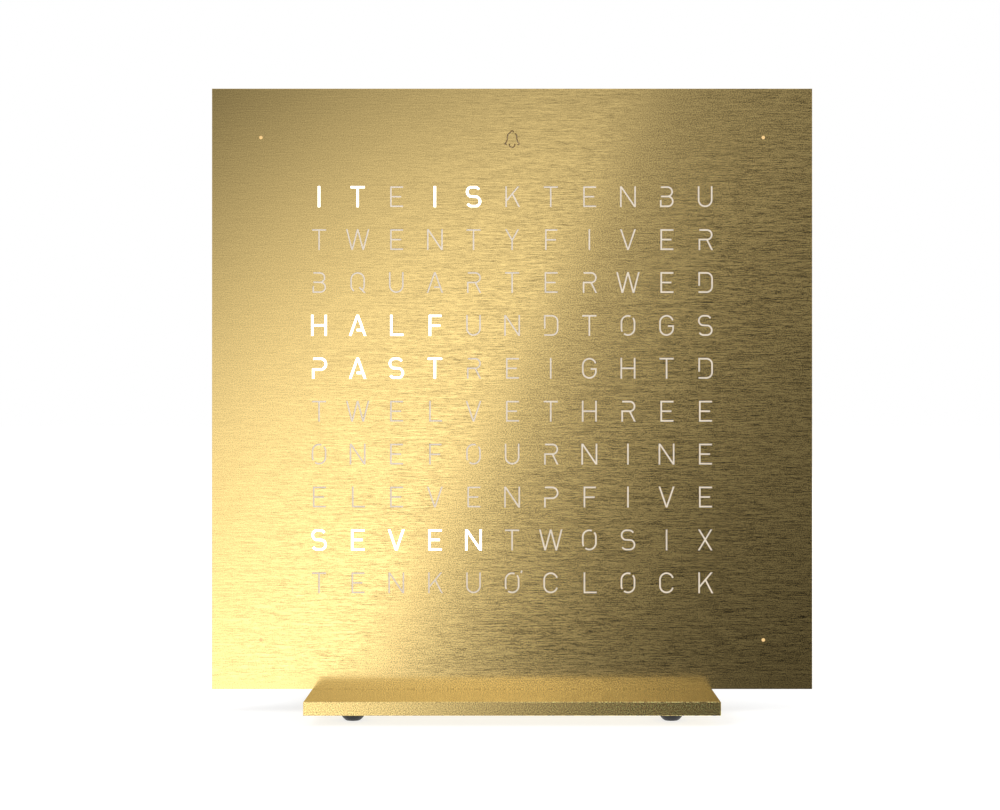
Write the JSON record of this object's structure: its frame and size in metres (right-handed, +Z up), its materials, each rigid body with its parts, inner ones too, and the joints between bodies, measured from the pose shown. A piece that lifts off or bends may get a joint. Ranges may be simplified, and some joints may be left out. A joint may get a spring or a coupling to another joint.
{
  "type": "word clock",
  "caption": "Free-standing word clock: a square brushed metal cover with lit letters on a shallow magnetic housing, a base plate and domed feet.",
  "frame": {"origin": "on the table, under the middle of the base plate, at the bottom centre of the whole box", "axes": "+Z up, -Y towards the reader of the clock, +X to the reader's right"},
  "size_m": [0.135, 0.06, 0.1405],
  "materials": {
    "brushed_gold": "fine horizontal brushing, clear lacquered",
    "frosted_inlay": "frosted translucent",
    "letter_glow": "lit frosted letters",
    "zinc_steel": "zinc plated",
    "bright_steel": "bright",
    "black_screw": "black oxide",
    "magnet_nickel": "nickel plated",
    "charcoal_moulding": "fine spark-eroded texture",
    "opal_sheet": "opal, matt",
    "white_moulding": "satin",
    "clear_moulding": "clear, polished",
    "smoked_window": "smoked, glossy",
    "board_green": "lacquered circuit board",
    "lamp_body": "white package with a yellow phosphor",
    "gold_contact": "plated",
    "chip_black": "moulded",
    "capacitor_yellow": "moulded brick",
    "peg_moulding": "moulded",
    "plunger_white": "moulded",
    "foot_rubber": "satin"
  },
  "bodies": {
    "housing": {"housing_frame": "charcoal_moulding", "cover_magnets": "magnet_nickel", "diffuser_sheet": "opal_sheet", "light_grid": "white_moulding", "minute_light_pipes": "clear_moulding", "alarm_lens": "smoked_window", "led_board": "board_green", "letter_lamps": "lamp_body", "minute_lamps": "lamp_body", "alarm_lamp": "lamp_body", "touch_contact": "gold_contact", "microcontroller": "chip_black", "lamp_drivers": "chip_black", "quartz_crystal": "bright_steel", "cell_holder": "chip_black", "backup_cell": "bright_steel", "buffer_capacitors": "capacitor_yellow", "buzzer": "chip_black", "socket_shell": "bright_steel", "socket_insert": "chip_black", "tact_switches": "chip_black", "rear_cover": "charcoal_moulding", "rear_cover_screw": "black_screw", "base_screw": "bright_steel", "base_plate": "brushed_gold", "rubber_feet": "foot_rubber"},
    "cover": {"front_cover": "brushed_gold", "letter_inlay": "frosted_inlay", "minute_dot_inlays": "frosted_inlay", "alarm_inlay": "smoked_window", "keeper_plates": "zinc_steel", "locating_pegs": "peg_moulding"},
    "hour_key": {"hour_button": "charcoal_moulding", "hour_switch_plunger": "plunger_white"},
    "minute_key": {"minute_button": "charcoal_moulding", "minute_switch_plunger": "plunger_white"},
    "alarm_key": {"alarm_button": "charcoal_moulding", "alarm_switch_plunger": "plunger_white"},
    "light_key": {"light_button": "charcoal_moulding", "light_switch_plunger": "plunger_white"}
  },
  "joints": [
    {"name": "cover_lift", "type": "slide", "parent": "housing", "child": "cover", "axis": [0, -1, 0], "range_m": [0, 0.03]},
    {"name": "hour_press", "type": "slide", "parent": "housing", "child": "hour_key", "axis": [0, -1, 0], "range_m": [0, 0.0005], "stiffness_N_per_m": 1500, "springref_m": -0.0003},
    {"name": "minute_press", "type": "slide", "parent": "housing", "child": "minute_key", "axis": [0, -1, 0], "range_m": [0, 0.0005], "stiffness_N_per_m": 1500, "springref_m": -0.0003},
    {"name": "alarm_press", "type": "slide", "parent": "housing", "child": "alarm_key", "axis": [0, -1, 0], "range_m": [0, 0.0005], "stiffness_N_per_m": 1500, "springref_m": -0.0003},
    {"name": "light_press", "type": "slide", "parent": "housing", "child": "light_key", "axis": [0, -1, 0], "range_m": [0, 0.0005], "stiffness_N_per_m": 1500, "springref_m": -0.0003}
  ]
}
